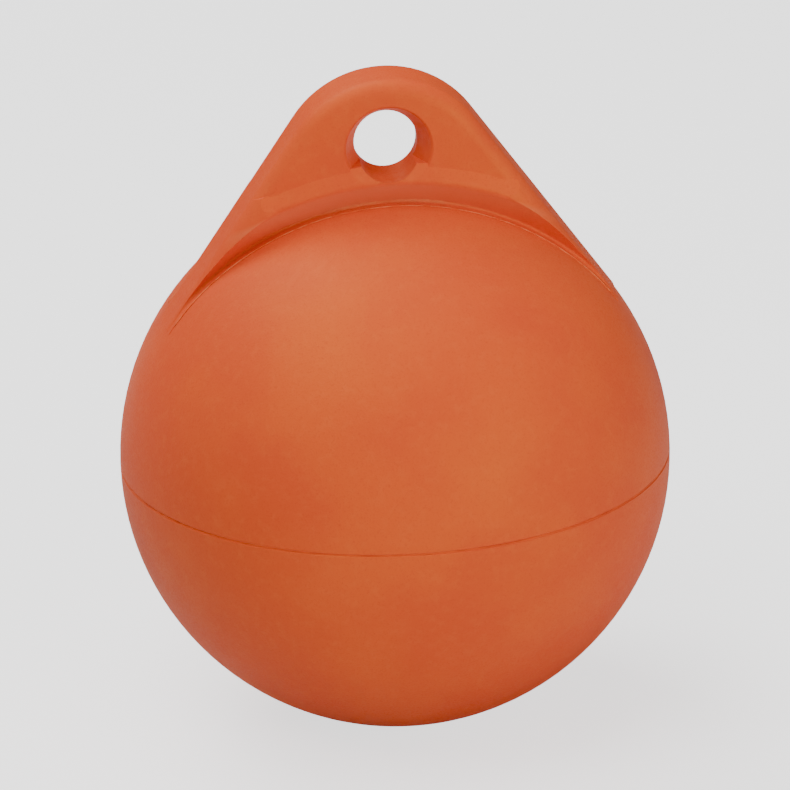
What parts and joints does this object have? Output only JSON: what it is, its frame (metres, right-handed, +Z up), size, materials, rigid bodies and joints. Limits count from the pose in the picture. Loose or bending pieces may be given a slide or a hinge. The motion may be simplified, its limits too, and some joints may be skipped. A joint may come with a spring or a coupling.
{
  "type": "eared fishing float",
  "caption": "Hollow hard-plastic ball float with a thick teardrop ear on top, a rounded rope eye through the ear and a welded joint line round the ball's equator.",
  "frame": {"origin": "lowest point of the ball, on the axis that runs up through the middle of the ear", "axes": "+Z up through the ball's centre and the top of the ear, +Y along the rope eye's axis, +X across the ear"},
  "size_m": [0.2, 0.2, 0.2466],
  "materials": {
    "orange_plastic": "satin moulded, lightly grained",
    "weld_plastic": "melted and trimmed"
  },
  "bodies": {
    "root": {"upper_shell": "orange_plastic", "lower_shell": "orange_plastic", "outer_weld_bead": "weld_plastic", "inner_weld_bead": "weld_plastic"}
  },
  "joints": []
}
